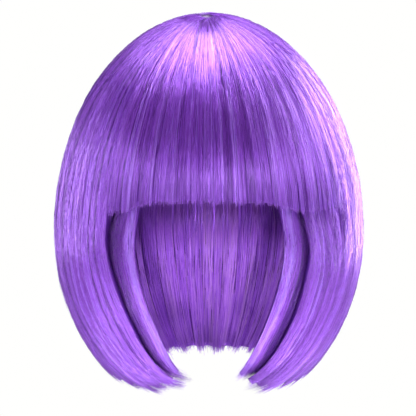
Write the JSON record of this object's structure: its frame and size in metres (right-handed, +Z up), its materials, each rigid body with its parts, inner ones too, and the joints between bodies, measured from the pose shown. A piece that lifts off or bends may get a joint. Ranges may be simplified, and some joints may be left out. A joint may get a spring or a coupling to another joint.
{
  "type": "bob wig",
  "caption": "Chin-length violet bob wig with a blunt fringe and ends that curl in under the chin, on a plain net cap, in its worn shape.",
  "frame": {"origin": "inner top of the cap, where it rests on the crown of the head", "axes": "+Z up, -Y the face side, +X the wearer's left, which is the right of the picture"},
  "size_m": [0.2321, 0.2317, 0.277],
  "materials": {
    "hair": "glossy straight synthetic fibre",
    "net": "matt elastic net"
  },
  "bodies": {
    "root": {"cap": "net", "crown_whorl": "hair", "fringe": "hair", "side_left": "hair", "side_right": "hair", "face_lock_left": "hair", "face_lock_right": "hair", "back_hair": "hair"}
  },
  "joints": []
}
